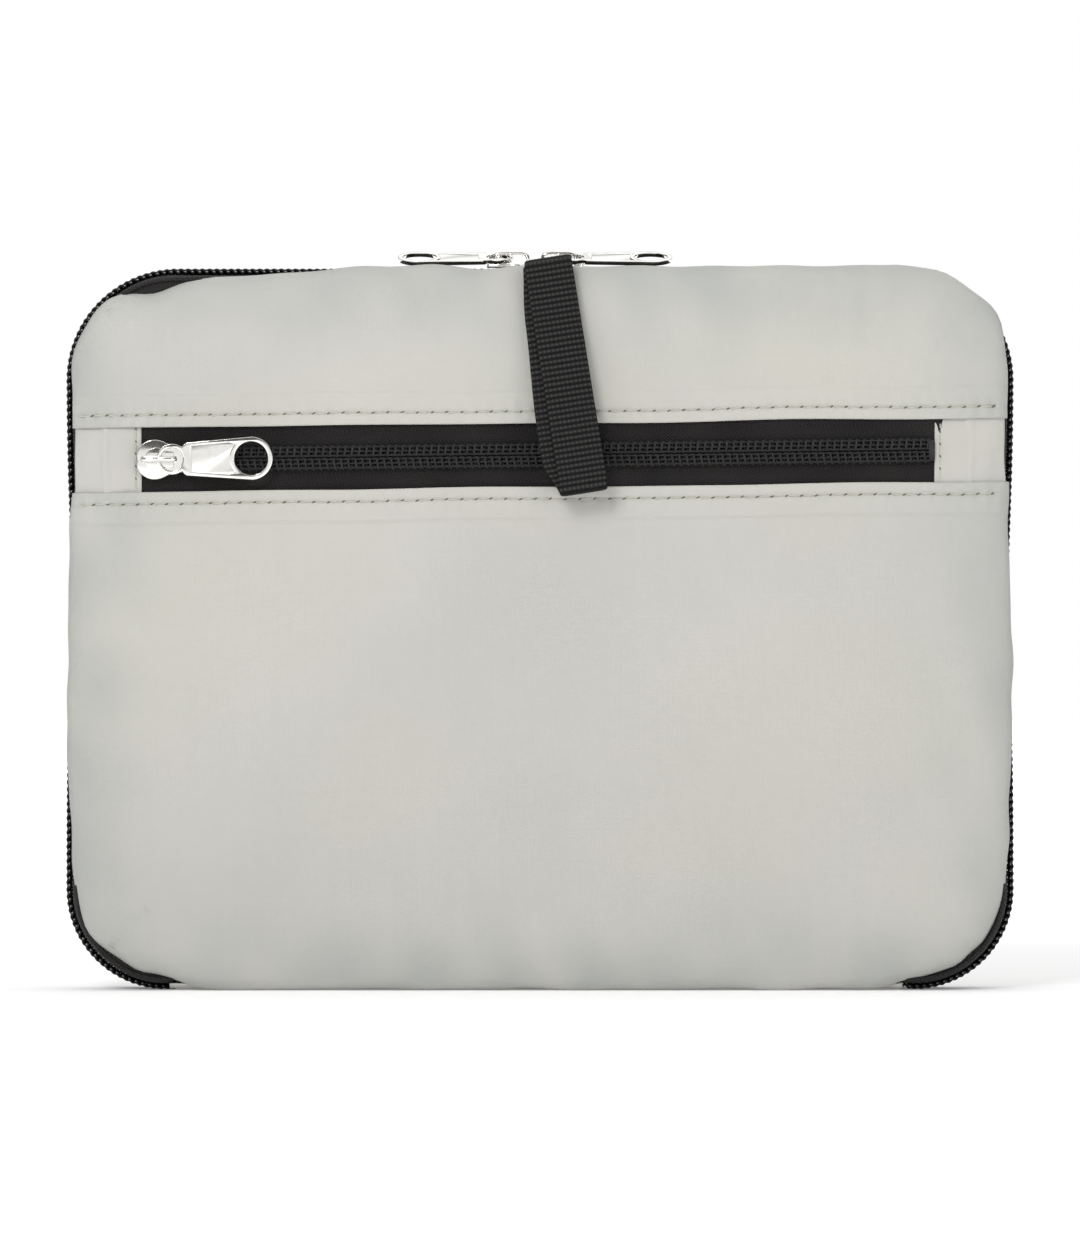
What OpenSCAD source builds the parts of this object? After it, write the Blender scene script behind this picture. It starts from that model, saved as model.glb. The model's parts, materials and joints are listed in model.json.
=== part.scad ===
// Foldable tote bag, folded into its own zipped pouch.
// +Z is up, the front faces -Y, and the pouch stands on z = 0.

/* [Pouch] */
// Width of the zipped pouch
pouch_w = 238; // [230:1:260]
// Height of the zipped pouch
pouch_h = 181; // [176:1:200]
// Thickness of the zipped pouch, from front panel to back panel
pouch_d = 30; // [30:1:36]
// Corner radius at the top
top_r = 28; // [22:1:30]
// Corner radius at the bottom
bottom_r = 25; // [22:1:28]
// How far each panel's edge curls back to its zip tape
crown = 5; // [4:0.5:6]
// Thickness of one cloth panel
panel_t = 1; // [0.8:0.1:1.2]

/* [Zips] */
// Width of one coil row
coil_w = 2.4; // [2.2:0.1:2.6]
// Thickness of a coil row
coil_t = 1.6; // [1.4:0.1:1.8]
// Thickness of the zip tape
tape_t = 0.6; // [0.5:0.1:0.7]
// Gap between two coil rows, where a slider's post runs
chain_gap = 1.2; // [1.2:0.1:1.4]
// Height of the pocket zip's centre line above the base
pocket_z = 134; // [125:1:140]
// Tilt of the pocket zip, in degrees
pocket_tilt = 0.7; // [0:0.1:1]
// Height of the pocket zip's window
window_h = 15.75; // [15:0.25:17]
// Left end of the pocket zip's window
window_left = -100; // [-102:1:-98]
// Right end of the pocket zip's window
window_right = 99; // [97:1:101]

/* [Hardware] */
// Length of a puller, from its pivot
puller_l = 28.5; // [26:0.5:30]
// Width of a puller at its round end
puller_w = 10.8; // [10:0.2:11.2]
// Roll of the two top pullers towards the front, in degrees
puller_roll = 16; // [10:1:18]
// Pivot of the left top puller, across the pouch
left_x = -7.2; // [-9:0.1:-7]
// Pivot of the right top puller, across the pouch
right_x = 4.8; // [4.6:0.1:6]

/* [Loop] */
// Width of the webbing
webbing_w = 12; // [10:1:12]
// Length of the doubled loop below its fold over the top edge
loop_l = 58; // [50:1:60]
// Sideways tilt of the loop, in degrees
loop_tilt = 9; // [0:1:10]
// Lean of the loop away from the pouch, in degrees
loop_lean = 7; // [7:1:9]

/* [Hidden] */
$fn = 64;
eps = 1;

half_w = pouch_w / 2;
face_y = pouch_d / 2;
seam_y = face_y - crown;
row_y = chain_gap / 2;

// Inset of each layer from the pouch's outline
panel_inset = 1.2;
tape_inset = coil_t;
inner_inset = tape_inset + tape_t;
binding_inset = inner_inset + 1.8;

// The cloth hinge along the bottom runs between the two ends of the zip
hinge_left = -90;
hinge_right = 88;
hinge_gap = 0.3;
gusset_t = 1.2;
tack_gap = 0.2;
tack_w = 1.6;
gusset_front_y = -face_y + panel_t + 0.4;

// Pocket: the chain's outer face stands just proud of the panel
pocket_tape_y = -face_y + panel_t;
pocket_coil_y = pocket_tape_y - coil_t;
pocket_tape_reach = 15;
lining_y0 = -11.9;
lining_y1 = -10.9;
lining_drop = 95;
lining_rise = 15;
lining_rim = 1;

// Slider, drawn with its pivot over the origin and the chain's outer face at z = 0
slider_nose = 5.5;
slider_tail = 6.25;
slider_w = 10;
plate_z0 = 0.3;
plate_z1 = 1.2;
lower_z0 = -3.4;
lower_z1 = -2.4;
flange_z0 = -0.9;
bridge_z = 4.6;
bridge_w = 1.5;
bridge_half = 4.6;
bridge_leg = 1.2;
pivot_z = 2.7;
pocket_slider_x = -95.2;
ring_r = 3.35;
wire_r = 0.45;
puller_t = 1.2;
puller_neck_w = 8.3;
puller_hole_r = 4.2;

// Folded tote: layers stand inside the pouch, clear of the zip's corners
tote_w = 200;
tote_z0 = 16;
tote_z1 = 166;
tote_r = 10;
back_fold = [3.4, 13];
middle_fold = [-2.0, 0.6];
front_fold = [-10.5, -5.2];
handle_w = 25;
handle_l = 150;

// Loop: its pivot is the bend over the front panel's top edge
loop_x = 2;
loop_y = -face_y - 1.9;
loop_z = pouch_h + 1;
webbing_t = 1.3;
root_back_y = -8.5;

module outline(inset) {
  side = half_w - inset;
  square_z1 = pouch_h - top_r;
  top_x = half_w - top_r;
  bottom_x = half_w - bottom_r;
  translate([-side, bottom_r]) square([2 * side, square_z1 - bottom_r]);
  translate([-top_x, square_z1 - eps]) square([2 * top_x, top_r - inset + eps]);
  translate([-bottom_x, inset]) square([2 * bottom_x, bottom_r - inset + eps]);
  for (s = [-1, 1]) {
    translate([s * top_x, square_z1]) circle(top_r - inset);
    translate([s * bottom_x, bottom_r]) circle(bottom_r - inset);
  }
}

module slab(inset, y0, y1) {
  translate([0, y1, 0]) rotate([90, 0, 0]) linear_extrude(y1 - y0) outline(inset);
}

module band(outer, inner, y0, y1) {
  difference() {
    slab(outer, y0, y1);
    slab(inner, y0 - eps, y1 + eps);
  }
}

// The stretch of the bottom edge that has no zip, widened by room at each end
module hinge_strip(height, room = 0) {
  translate([hinge_left - room, -pouch_d, -eps])
    cube([hinge_right - hinge_left + 2 * room, 2 * pouch_d, height + eps]);
}

module zip_band(outer, inner, y0, y1) {
  difference() {
    band(outer, inner, y0, y1);
    hinge_strip(binding_inset + eps, tack_gap + tack_w);
  }
}

module rounded_block(w, y0, y1, z0, z1, r) {
  translate([0, y1, 0]) rotate([90, 0, 0]) linear_extrude(y1 - y0) {
    translate([-w / 2 + r, z0]) square([w - 2 * r, z1 - z0]);
    translate([-w / 2, z0 + r]) square([w, z1 - z0 - 2 * r]);
    for (s = [-1, 1], z = [z0 + r, z1 - r]) translate([s * (w / 2 - r), z]) circle(r);
  }
}

// The pocket zip's own frame: z = 0 is the chain's centre line
module pocket_frame() {
  translate([0, 0, pocket_z]) rotate([0, -pocket_tilt, 0]) children();
}

// Back half

module back_panel() {
  color([0.81, 0.80, 0.76]) difference() {
    union() {
      slab(panel_inset, face_y - panel_t, face_y);
      band(panel_inset, panel_inset + panel_t, seam_y, face_y - panel_t + 0.1);
    }
    hinge_strip(gusset_t);
    translate([hinge_left, 0, gusset_t])
      cube([hinge_right - hinge_left, face_y - panel_t, panel_inset + panel_t]);
  }
}

module bottom_gusset() {
  color([0.80, 0.79, 0.75]) translate([hinge_left + 0.2, gusset_front_y, 0])
    cube([hinge_right - hinge_left - 0.4, face_y - gusset_front_y, gusset_t]);
}

module back_zip_tape() {
  color([0.14, 0.13, 0.13]) zip_band(tape_inset, inner_inset, row_y, seam_y);
}

module back_zip_coil() {
  color([0.10, 0.10, 0.10]) zip_band(0, coil_t, row_y, row_y + coil_w);
}

module back_seam_binding() {
  color([0.2, 0.2, 0.2]) zip_band(inner_inset, binding_inset, seam_y - 0.8, seam_y + 0.8);
}

// Bar tack across the two tapes at a bottom end of the zip
module zip_tack(x) {
  color([0.16, 0.16, 0.16]) translate([x, -3, 0.1]) cube([tack_w, 6, 2.4]);
}

module left_zip_tack() {
  zip_tack(hinge_left - tack_gap - tack_w);
}

module right_zip_tack() {
  zip_tack(hinge_right + tack_gap);
}

module tote_back_folds() {
  color([0.78, 0.77, 0.73])
    rounded_block(tote_w, back_fold[0], back_fold[1], tote_z0, tote_z1, tote_r);
}

module handle_bundle(y0, y1, z) {
  color([0.12, 0.12, 0.12]) translate([-handle_l / 2, y0, z]) cube([handle_l, y1 - y0, handle_w]);
}

module tote_back_handle() {
  handle_bundle(back_fold[0] - 2.4, back_fold[0], 60);
}

// Front half

module front_shell() {
  difference() {
    union() {
      slab(panel_inset, -face_y, -face_y + panel_t);
      band(panel_inset, panel_inset + panel_t, -face_y + panel_t - 0.1, -seam_y);
    }
    hinge_strip(panel_t + hinge_gap);
    translate([hinge_left, -face_y + panel_t, 0])
      cube([hinge_right - hinge_left, face_y, panel_inset + panel_t + 0.2]);
  }
}

module upper_front_panel() {
  color([0.82, 0.81, 0.77]) intersection() {
    front_shell();
    pocket_frame() translate([-pouch_w, -pouch_d, window_h / 2]) cube([2 * pouch_w, pouch_d, pouch_h]);
  }
}

module lower_front_panel() {
  color([0.82, 0.81, 0.77]) intersection() {
    front_shell();
    pocket_frame() translate([-pouch_w, -pouch_d, -window_h / 2 - pouch_h])
      cube([2 * pouch_w, pouch_d, pouch_h]);
  }
}

module end_tab(x0) {
  color([0.80, 0.79, 0.76]) intersection() {
    front_shell();
    pocket_frame() translate([x0, -pouch_d, -window_h / 2]) cube([half_w, pouch_d, window_h]);
  }
}

module left_end_tab() {
  end_tab(window_left - half_w);
}

module right_end_tab() {
  end_tab(window_right);
}

// side is 1 above the chain's centre line and -1 below it
module pocket_tape(side) {
  low = side > 0 ? row_y : -pocket_tape_reach;
  color([0.15, 0.14, 0.14]) pocket_frame()
    translate([window_left - 8, pocket_tape_y, low])
      cube([window_right - window_left + 16, tape_t, pocket_tape_reach - row_y]);
}

module pocket_coil(side) {
  low = side > 0 ? row_y : -row_y - coil_w;
  color([0.10, 0.10, 0.10]) pocket_frame()
    translate([window_left + 1.6, pocket_coil_y, low])
      cube([window_right - window_left - 3.4, coil_t, coil_w]);
}

module pocket_upper_tape() {
  pocket_tape(1);
}

module pocket_lower_tape() {
  pocket_tape(-1);
}

module pocket_upper_coil() {
  pocket_coil(1);
}

module pocket_lower_coil() {
  pocket_coil(-1);
}

module pocket_end_stops() {
  color([0.12, 0.12, 0.12]) pocket_frame() {
    for (z = [row_y + 0.1, -row_y - 2.1])
      translate([window_left + 0.3, pocket_coil_y, z]) cube([1.2, coil_t, 2]);
    translate([window_right - 1.7, pocket_coil_y, -2.6]) cube([1.2, coil_t, 5.2]);
  }
}

module pocket_lining() {
  lining_x = window_left - 6;
  lining_w = window_right - window_left + 12;
  color([0.75, 0.74, 0.70]) pocket_frame() {
    translate([lining_x, lining_y0, -lining_drop])
      cube([lining_w, lining_y1 - lining_y0, lining_drop + lining_rise]);
    for (z = [-pocket_tape_reach, lining_rise - lining_rim])
      translate([lining_x, pocket_tape_y + tape_t, z])
        cube([lining_w, lining_y1 - pocket_tape_y - tape_t, lining_rim]);
  }
}

module front_zip_tape() {
  color([0.14, 0.13, 0.13]) zip_band(tape_inset, inner_inset, -seam_y, -row_y);
}

module front_zip_coil() {
  color([0.10, 0.10, 0.10]) zip_band(0, coil_t, -row_y - coil_w, -row_y);
}

module front_seam_binding() {
  color([0.2, 0.2, 0.2]) zip_band(inner_inset, binding_inset, -seam_y - 0.8, -seam_y + 0.8);
}

module loop_root() {
  front_y = loop_y + webbing_t + 0.45;
  color([0.12, 0.12, 0.12])
    translate([loop_x - webbing_w / 2, front_y, pouch_h - panel_inset])
      cube([webbing_w, root_back_y - front_y, 2 * webbing_t]);
}

module tote_front_folds() {
  color([0.78, 0.77, 0.73])
    rounded_block(tote_w, front_fold[0], front_fold[1], tote_z0, tote_z1, tote_r);
}

// Middle fold of the tote, with its mouth hem and a handle

module tote_middle_folds() {
  color([0.79, 0.78, 0.74])
    rounded_block(tote_w, middle_fold[0], middle_fold[1], tote_z0, tote_z1, tote_r);
}

module tote_mouth_hem() {
  color([0.76, 0.75, 0.71]) translate([-tote_w / 2 + 4, middle_fold[0] - 0.8, 138]) cube([tote_w - 8, 0.8, 16]);
}

module tote_front_handle() {
  handle_bundle(middle_fold[0] - 2.4, middle_fold[0], 60);
}

// Sliders and pullers

module slider_plate(z0, z1) {
  translate([0, 0, z0]) linear_extrude(z1 - z0) {
    translate([-slider_nose + 3.4, slider_w / 2 - 3.4]) circle(3.4);
    translate([-slider_nose + 3.4, -slider_w / 2 + 3.4]) circle(3.4);
    translate([-slider_nose + 3.4, -slider_w / 2]) square([4, slider_w]);
    polygon([[1, -slider_w / 2], [slider_tail, -3.4], [slider_tail, 3.4], [1, slider_w / 2]]);
  }
}

// flanges lists the sides, 1 and -1, on which the upper plate turns down over the coil
module slider(flanges) {
  color([0.83, 0.83, 0.82]) {
    slider_plate(plate_z0, plate_z1);
    slider_plate(lower_z0, lower_z1);
    translate([-slider_nose + 0.8, -0.5, lower_z0]) cube([3.4, 1, plate_z1 - lower_z0]);
    for (s = flanges) translate([-2, s > 0 ? slider_w / 2 - 0.7 : -slider_w / 2, flange_z0])
      cube([3, 0.7, plate_z1 - flange_z0]);
    for (x = [-bridge_half, bridge_half - bridge_leg]) translate([x, -bridge_w / 2, plate_z0])
      cube([bridge_leg, bridge_w, bridge_z - plate_z0]);
    translate([-bridge_half, -bridge_w / 2, bridge_z - 1]) cube([2 * bridge_half, bridge_w, 1]);
  }
}

module puller() {
  end_x = puller_l - puller_w / 2;
  neck_x = 2 * ring_r + 1.6;
  color([0.86, 0.86, 0.85]) translate([0, 0, pivot_z]) {
    translate([ring_r, 0, 0]) rotate_extrude() translate([ring_r, 0]) circle(wire_r, $fn = 24);
    translate([0, 0, -puller_t / 2]) linear_extrude(puller_t) difference() {
      union() {
        translate([end_x, 0]) circle(puller_w / 2);
        polygon([
          [2 * ring_r, -2.6], [neck_x, -puller_neck_w / 2], [end_x, -puller_w / 2],
          [end_x, puller_w / 2], [neck_x, puller_neck_w / 2], [2 * ring_r, 2.6]
        ]);
      }
      translate([end_x, 0]) circle(puller_hole_r);
    }
  }
}

// Stands a part drawn in the slider's frame on the pocket chain, pulling towards +X
module on_pocket() {
  pocket_frame() translate([pocket_slider_x, pocket_coil_y, 0]) rotate([90, 0, 0]) children();
}

// Stands a part drawn in the slider's frame on the top run of the chain
module on_top(x, turn) {
  translate([x, 0, pouch_h]) rotate([0, 0, turn]) children();
}

// Rolls a part about a line along x through the pivot, so that its -y edge dips
module rolled(roll) {
  translate([0, 0, pivot_z]) rotate([roll, 0, 0]) translate([0, 0, -pivot_z]) children();
}

module pocket_slider() {
  on_pocket() slider([1, -1]);
}

module pocket_puller() {
  on_pocket() puller();
}

module left_slider() {
  on_top(left_x, 180) slider([-1]);
}

module left_puller() {
  on_top(left_x, 180) rolled(-puller_roll) puller();
}

module right_slider() {
  on_top(right_x, 0) slider([1]);
}

module right_puller() {
  on_top(right_x, 0) rolled(puller_roll) puller();
}

module hang_loop() {
  color([0.12, 0.12, 0.12]) translate([loop_x, loop_y, loop_z])
    rotate([-loop_lean, 0, 0]) rotate([0, -loop_tilt, 0])
      translate([-webbing_w / 2, -webbing_t, -loop_l]) cube([webbing_w, 2 * webbing_t, loop_l]);
}

back_panel();
bottom_gusset();
back_zip_tape();
back_zip_coil();
back_seam_binding();
left_zip_tack();
right_zip_tack();
tote_back_folds();
tote_back_handle();
upper_front_panel();
lower_front_panel();
left_end_tab();
right_end_tab();
pocket_upper_tape();
pocket_lower_tape();
pocket_upper_coil();
pocket_lower_coil();
pocket_end_stops();
pocket_lining();
front_zip_tape();
front_zip_coil();
front_seam_binding();
loop_root();
tote_front_folds();
tote_middle_folds();
tote_mouth_hem();
tote_front_handle();
pocket_slider();
pocket_puller();
left_slider();
left_puller();
right_slider();
right_puller();
hang_loop();
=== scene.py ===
"""Looks of the foldable tote bag, packed into its own zipped pouch.

Shapes are worked out in millimetres in the CAD model's frame and built in metres.
"""

import json
import math

import bmesh
import bpy
import numpy as np
from mathutils import Matrix, Vector


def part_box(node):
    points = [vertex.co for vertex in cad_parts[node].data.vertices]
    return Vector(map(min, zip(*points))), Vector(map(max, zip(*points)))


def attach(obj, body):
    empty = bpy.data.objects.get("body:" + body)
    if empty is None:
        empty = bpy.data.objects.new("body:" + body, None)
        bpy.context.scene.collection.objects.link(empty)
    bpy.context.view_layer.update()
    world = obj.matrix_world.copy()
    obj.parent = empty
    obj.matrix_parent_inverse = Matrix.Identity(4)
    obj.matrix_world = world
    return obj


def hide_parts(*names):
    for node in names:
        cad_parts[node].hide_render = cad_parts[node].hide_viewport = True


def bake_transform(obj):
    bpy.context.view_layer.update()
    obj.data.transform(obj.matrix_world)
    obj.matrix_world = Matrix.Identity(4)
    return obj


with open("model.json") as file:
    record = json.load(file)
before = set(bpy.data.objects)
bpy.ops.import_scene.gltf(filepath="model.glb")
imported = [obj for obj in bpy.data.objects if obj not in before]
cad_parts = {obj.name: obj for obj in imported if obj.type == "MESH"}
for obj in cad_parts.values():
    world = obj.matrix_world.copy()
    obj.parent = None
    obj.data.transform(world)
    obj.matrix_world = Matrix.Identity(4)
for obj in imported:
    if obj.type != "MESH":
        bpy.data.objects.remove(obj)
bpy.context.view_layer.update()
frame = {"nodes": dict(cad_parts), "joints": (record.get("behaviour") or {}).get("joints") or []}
MM = 0.001


# ---- sizes from the frame


def box_mm(node):
    """A CAD node's lowest and highest corners, in millimetres."""
    low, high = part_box(node)
    return np.array(low) / MM, np.array(high) / MM


JOINTS = {joint["name"]: joint for joint in frame["joints"]}
HALF_W = box_mm("back_zip_coil")[1][0]
HEIGHT = box_mm("back_zip_coil")[1][2]
FACE_Y = -box_mm("lower_front_panel")[0][1]
SEAM_Y = -box_mm("front_zip_tape")[0][1]
HINGE_LEFT, HINGE_RIGHT = (box_mm("bottom_gusset")[i][0] for i in (0, 1))
TACK_ROOM = 2.0  # each end of the perimeter zip stops this far from the hinge, for its tack
TOP_R = 28.0
BOTTOM_R = 25.0

ALONG_X, _, ALONG_Z = JOINTS["pocket_slide"]["axis"]
POCKET_SLOPE = ALONG_Z / ALONG_X
WINDOW_LEFT = box_mm("left_end_tab")[1][0]
WINDOW_RIGHT = box_mm("right_end_tab")[0][0]
POCKET_PIVOT = np.array(JOINTS["pocket_pull"]["pos_m"]) / MM
POCKET_Z = POCKET_PIVOT[2] - POCKET_PIVOT[0] * POCKET_SLOPE
WINDOW_HALF = 7.9
PANEL_INSET = 1.2  # the panels' edges sit this far inside the coils' outline
CLOTH_T = 0.45
HEM_W = 8.0
STITCH_INSET = 3.0  # from the hem's fold to its topstitching
TAPE_REACH = 14.5  # from the pocket chain's centre line to the tape's far edge
TAPE_PAST = 7.0  # the pocket tape runs this far past each end of the window
BAG_PAST = 5.5
BAG_DROP = 94.5  # from the pocket chain down to the bottom of its bag
BAG_Y = -11.4

LOOP_PIVOT = np.array(JOINTS["loop_swing"]["pos_m"]) / MM
LOOP_W = 12.0
LOOP_TILT = math.radians(9)
LOOP_LEAN = math.radians(7)
LOOP_L = 58.0
WEBBING_T = 1.25

COIL_PITCH = 1.8
CHAIN_HALF = 3.1
STITCH_PITCH = 3.7
PIVOT_Z = 2.7  # a puller's pivot stands this far out of its slider's own origin

OUTWARD = np.array([0, -1.0, 0])
FRONT_SEED = 11
HEM_SEED = 41


# ---- small maths


def bell(distance, width):
    """1 at no distance, falling smoothly to nothing a few widths away."""
    return np.exp(-((distance / width) ** 2))


def ramp(value, low, high):
    """0 below low, 1 above high, smooth between."""
    t = np.clip((value - low) / (high - low), 0, 1)
    return t * t * (3 - 2 * t)


def ripple(x, z, wavelength, seed, waves=7):
    """Smooth random waves of about that wavelength, roughly from -1 to 1."""
    draw = np.random.default_rng(seed)
    total = np.zeros(np.broadcast(x, z).shape)
    for _ in range(waves):
        turn, phase, stretch = draw.uniform(0, 2 * math.pi, 2).tolist() + [draw.uniform(0.7, 1.5)]
        k = 2 * math.pi / (wavelength * stretch)
        total = total + np.sin(k * (x * math.cos(turn) + z * math.sin(turn)) + phase)
    return total / math.sqrt(waves * 2)


def inside(x, z):
    """Distance inside the pouch's outline, and the inward direction there."""
    x, z = np.asarray(x, float), np.asarray(z, float)
    upper = z > HEIGHT / 2
    r = np.where(upper, TOP_R, BOTTOM_R)
    qx = np.abs(x) - (HALF_W - r)
    qz = np.where(upper, z - (HEIGHT - r), r - z)
    corner = np.hypot(np.maximum(qx, 0), np.maximum(qz, 0))
    depth = r - corner - np.minimum(np.maximum(qx, qz), 0)
    in_corner = (qx > 0) & (qz > 0)
    safe = np.maximum(corner, 1e-9)
    nx = np.where(in_corner, np.maximum(qx, 0) / safe, (qx > qz).astype(float))
    nz = np.where(in_corner, np.maximum(qz, 0) / safe, (qx <= qz).astype(float))
    return depth, -nx * np.sign(x), -nz * np.where(upper, 1, -1)


def half_width(z, inset):
    """Half the outline's width at height z, for an outline that far inside the pouch's."""
    z = min(max(z, inset), HEIGHT - inset)
    for r, over in ((TOP_R, z - (HEIGHT - TOP_R)), (BOTTOM_R, BOTTOM_R - z)):
        if over > 0:
            return HALF_W - r + math.sqrt(max((r - inset) ** 2 - over**2, 0))
    return HALF_W - inset


def slack(x, z):
    """How far the pouch's sides draw in at mid height, along x."""
    return -np.sign(x) * 1.3 * bell(z - 97, 30) * (np.abs(x) / HALF_W) ** 3


def xyz(x, y, z):
    return np.stack([x, y, z], -1)


def unit(vectors):
    """Rows of vectors, each at length one."""
    return vectors / np.linalg.norm(vectors, axis=1)[:, None]


def length_along(points):
    """The distance along a line at each of its points."""
    return np.concatenate([[0], np.cumsum(np.linalg.norm(np.diff(points, axis=0), axis=1))])


# ---- mesh helpers


def add_mesh(name, vertices, faces, material, smooth=True):
    """A mesh object from points in millimetres."""
    mesh = bpy.data.meshes.new(name)
    mesh.from_pydata((np.asarray(vertices) * MM).tolist(), [], [list(map(int, f)) for f in faces])
    mesh.validate()
    mesh.update()
    mesh.polygons.foreach_set("use_smooth", [smooth] * len(mesh.polygons))
    obj = bpy.data.objects.new(name, mesh)
    bpy.context.scene.collection.objects.link(obj)
    obj.data.materials.append(material)
    return obj


def grid_faces(rows, columns, offset=0, close_columns=False):
    """Quads of a grid whose vertices run column by column within each row."""
    faces = []
    for i in range(rows - 1):
        for j in range(columns if close_columns else columns - 1):
            a, b = offset + i * columns, offset + (i + 1) * columns
            k = (j + 1) % columns
            faces.append((a + j, a + k, b + k, b + j))
    return faces


def tube_faces(rings, sides, offset=0):
    """Faces of a tube made of rings of vertices, capped at both ends."""
    last = offset + (rings - 1) * sides
    caps = [tuple(range(offset, offset + sides))[::-1], tuple(range(last, last + sides))]
    return grid_faces(rings, sides, offset, close_columns=True) + caps


def add_grid(name, points, material):
    """A sheet from a grid of points."""
    return add_mesh(name, points.reshape(-1, 3), grid_faces(*points.shape[:2]), material)


def apply_modifiers(obj):
    bpy.context.view_layer.update()
    evaluated = obj.evaluated_get(bpy.context.evaluated_depsgraph_get())
    mesh = bpy.data.meshes.new_from_object(evaluated)
    obj.modifiers.clear()
    obj.data = mesh
    return obj


def thicken(obj, thickness):
    """Gives a sheet its real thickness, half to each side, as a closed mesh."""
    solid = obj.modifiers.new("thickness", "SOLIDIFY")
    solid.thickness = thickness * MM
    solid.offset = 0.0
    return apply_modifiers(obj)


def sweep(centres, side, up, section, name, material):
    """Sweeps section, a closed loop of (side, up) offsets per station, along centres."""
    points = centres[:, None, :] + section[..., :1] * side[:, None, :] + section[..., 1:] * up[:, None, :]
    return add_mesh(name, points.reshape(-1, 3), tube_faces(*section.shape[:2]), material)


def join(objects, name):
    """Joins objects into the first one."""
    bpy.ops.object.select_all(action="DESELECT")
    for obj in objects:
        obj.select_set(True)
    bpy.context.view_layer.objects.active = objects[0]
    bpy.ops.object.join()
    objects[0].name = name
    return objects[0]


def finish_piece(obj, body, slot, *nodes):
    """Rides a finished piece on its body and hides the CAD parts it stands for."""
    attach(obj, body)
    if nodes:
        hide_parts(*nodes)
    return obj


def finish_sheet(obj, thickness, body, slot, node):
    """Thickens a sheet to a thickness in millimetres and rides it on its body, hiding its CAD part."""
    thicken(obj, thickness)
    finish_piece(obj, body, slot, node)


# ---- materials


class Nodes:
    """Short calls for building a material's node tree."""

    def __init__(self, name):
        self.material = bpy.data.materials.new(name)
        self.material.use_nodes = True
        self.tree = self.material.node_tree
        self.shader = self.tree.nodes["Principled BSDF"]
        self.place = self.add("ShaderNodeTexCoord").outputs["Object"]

    def add(self, kind, **values):
        made = self.tree.nodes.new(kind)
        for key, value in values.items():
            setattr(made, key, value)
        return made

    def link(self, source, target):
        self.tree.links.new(source, target)

    def put(self, target, value):
        if isinstance(value, bpy.types.NodeSocket):
            self.link(value, target)
        else:
            target.default_value = value

    def math(self, operation, a, b=0.0, c=0.0):
        made = self.add("ShaderNodeMath", operation=operation)
        for target, value in zip(made.inputs, (a, b, c)):
            self.put(target, value)
        return made.outputs[0]

    def noise(self, scale, detail=3.0, stretch=(1, 1, 1)):
        mapping = self.add("ShaderNodeMapping")
        mapping.inputs["Scale"].default_value = stretch
        self.link(self.place, mapping.inputs["Vector"])
        made = self.add("ShaderNodeTexNoise")
        made.inputs["Scale"].default_value = scale
        made.inputs["Detail"].default_value = detail
        self.link(mapping.outputs[0], made.inputs["Vector"])
        return made.outputs["Fac"]

    def axis(self, direction):
        """The place along a direction, in millimetres."""
        made = self.add("ShaderNodeVectorMath", operation="DOT_PRODUCT")
        self.link(self.place, made.inputs[0])
        made.inputs[1].default_value = [d / MM for d in direction]
        return made.outputs["Value"]

    def wave(self, place, pitch, phase=0.0):
        """A sine from 0 to 1 with that pitch in millimetres."""
        turn = self.math("MULTIPLY_ADD", place, 2 * math.pi / pitch, phase)
        return self.math("MULTIPLY_ADD", self.math("SINE", turn), 0.5, 0.5)

    def mix(self, factor, a, b):
        made = self.add("ShaderNodeMix", data_type="RGBA")
        self.put(made.inputs["Factor"], factor)
        self.put(made.inputs[6], a)
        self.put(made.inputs[7], b)
        return made.outputs[2]

    def spread(self, value, low, high, to_low=0.0, to_high=1.0):
        made = self.add("ShaderNodeMapRange")
        for key, number in (("From Min", low), ("From Max", high), ("To Min", to_low), ("To Max", to_high)):
            made.inputs[key].default_value = number
        self.link(value, made.inputs["Value"])
        return made.outputs["Result"]

    def bump(self, height, distance_mm, strength=1.0, under=None):
        made = self.add("ShaderNodeBump")
        made.inputs["Strength"].default_value = strength
        made.inputs["Distance"].default_value = distance_mm * MM
        self.link(height, made.inputs["Height"])
        if under is not None:
            self.link(under, made.inputs["Normal"])
        return made.outputs["Normal"]

    def finish(self, color, roughness, normal=None, **sockets):
        self.put(self.shader.inputs["Base Color"], color)
        self.put(self.shader.inputs["Roughness"], roughness)
        if normal is not None:
            self.link(normal, self.shader.inputs["Normal"])
        for key, value in sockets.items():
            self.shader.inputs[key.replace("_", " ")].default_value = value
        return self.material


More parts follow.
